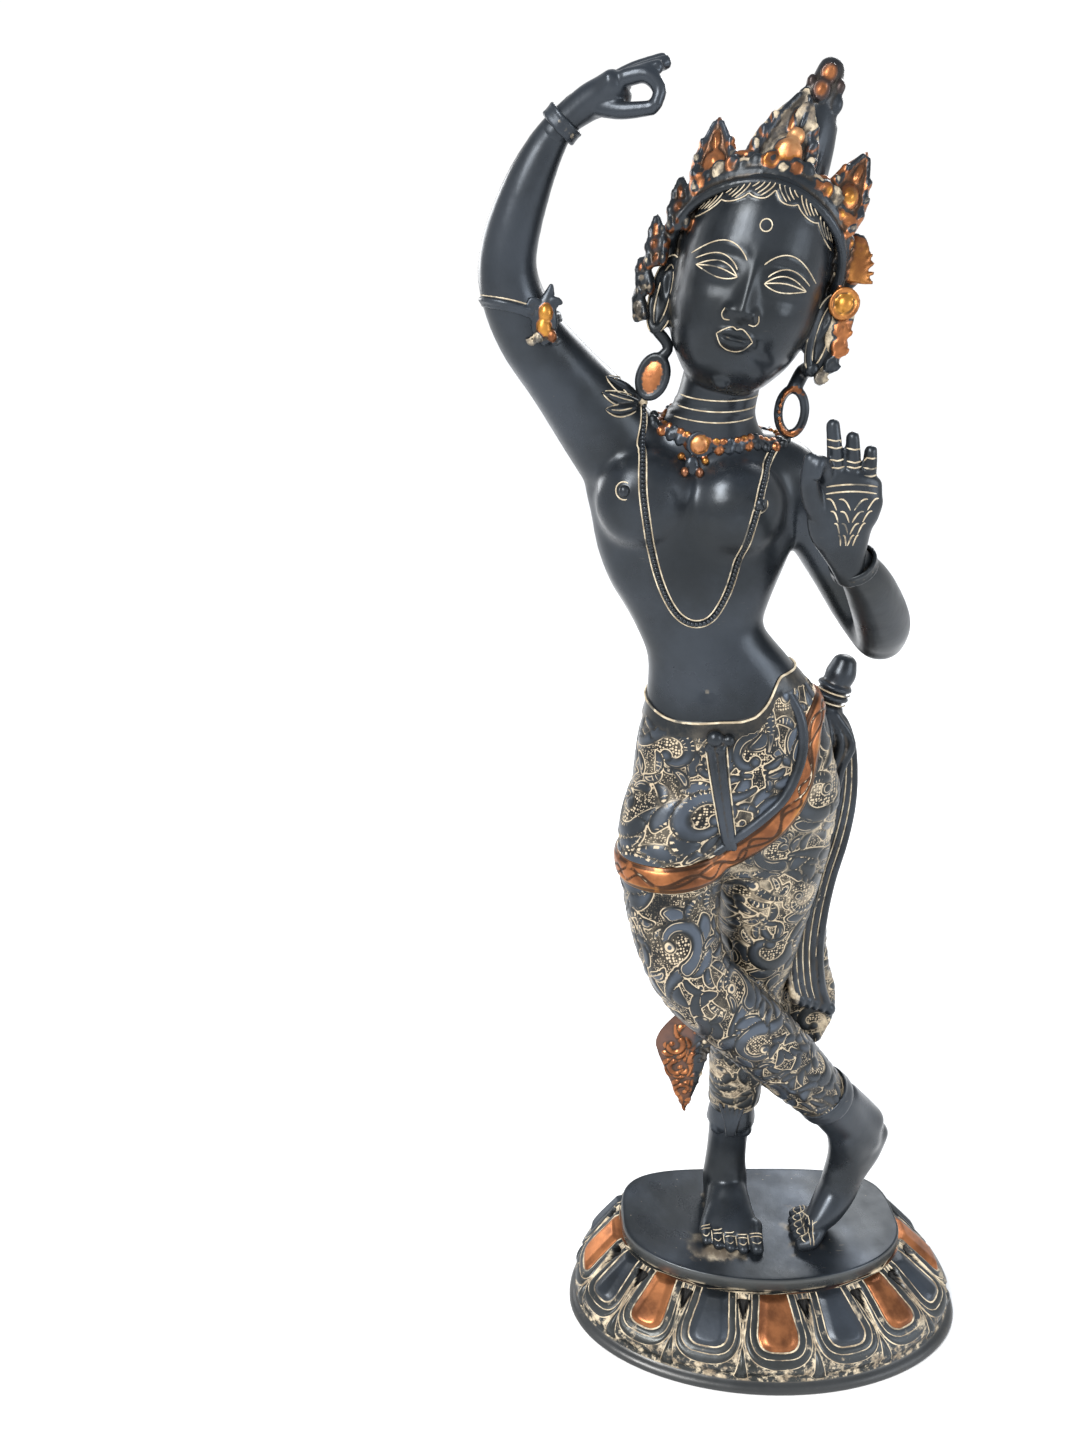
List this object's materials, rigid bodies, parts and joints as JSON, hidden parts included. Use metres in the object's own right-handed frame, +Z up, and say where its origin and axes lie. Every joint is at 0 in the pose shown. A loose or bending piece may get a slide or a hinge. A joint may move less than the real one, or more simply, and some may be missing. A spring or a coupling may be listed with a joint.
{
  "type": "dancing apsara figure",
  "caption": "Cast metal figure of a dancing apsara, one arm arched over the crowned head, legs crossed, on an oval plate over a petalled lotus ring.",
  "frame": {"origin": "centre of the lotus ring's flat underside, on the ground", "axes": "+Z up; the figure faces -Y, towards the viewer; +X is to the viewer's right"},
  "size_m": [0.3559, 0.1783, 0.8536],
  "materials": {
    "figure_metal": "satin blue-black patina on cast brass, with cream-filled engraving and copper and gilt accents",
    "base_metal": "satin blue-black patina on cast brass, every second petal copper coloured, cream in the grooves"
  },
  "bodies": {
    "root": {"figure": "figure_metal", "lotus_base": "base_metal"}
  },
  "joints": []
}
